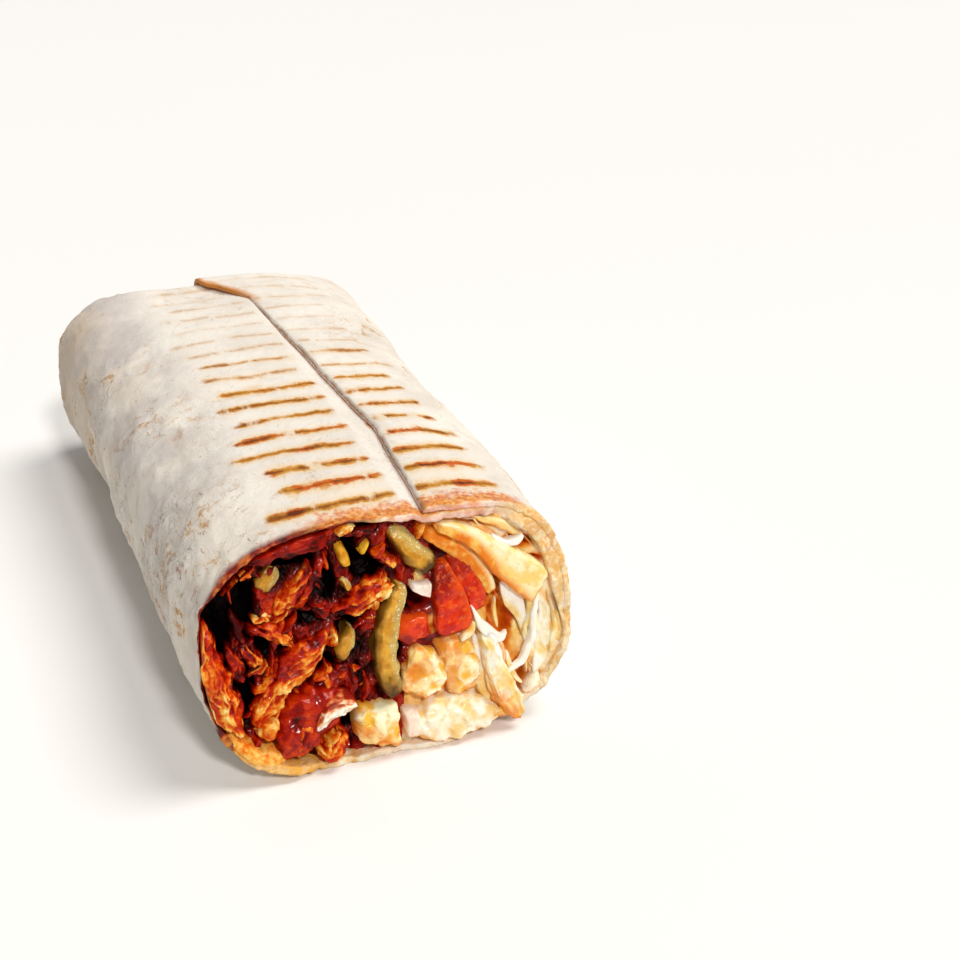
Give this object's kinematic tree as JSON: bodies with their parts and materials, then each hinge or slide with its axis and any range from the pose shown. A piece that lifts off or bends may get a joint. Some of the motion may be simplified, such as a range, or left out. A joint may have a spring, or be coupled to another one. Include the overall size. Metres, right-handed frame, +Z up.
{
  "type": "shawarma sandwich",
  "caption": "Half of a grilled flatbread wrap, cut open across one end to show chicken, pickles, tomato, fries, cabbage and garlic sauce, and folded shut at the other.",
  "frame": {"origin": "on the floor under the middle of the sandwich's bounding box", "axes": "+Y along the roll from the cut end to the folded end, +Z up, X across"},
  "size_m": [0.0822, 0.1684, 0.0457],
  "materials": {
    "bread": "matte, floury off-white with toasted grill lines",
    "chicken": "wet dark red marinade over orange and pale flesh",
    "cabbage": "moist, pale, translucent shreds",
    "pickle": "wet olive flesh with a darker skin",
    "pepper": "wet yellow",
    "tomato": "wet bright red",
    "fry": "soft fried potato, sauce on one side",
    "onion": "moist white",
    "turnip": "moist pale pink",
    "potato": "soft, creamy yellow",
    "sauce": "thick cream sauce"
  },
  "bodies": {
    "root": {"flatbread": "bread", "chicken_filling": "chicken", "cabbage_filling": "cabbage", "pickle_strip_long": "pickle", "pickle_strip_top": "pickle", "pickle_slice_left": "pickle", "pickle_wedge": "pickle", "pickle_bit": "pickle", "pepper_strip": "pepper", "pepper_sliver": "pepper", "tomato_wedge_front": "tomato", "tomato_wedge_back": "tomato", "tomato_piece_low": "tomato", "fry_front": "fry", "fry_back": "fry", "onion_bit": "onion", "turnip_cube": "turnip", "potato_chunk_left": "potato", "potato_chunk_mid": "potato", "potato_chunk_right": "potato", "garlic_sauce": "sauce"}
  },
  "joints": []
}
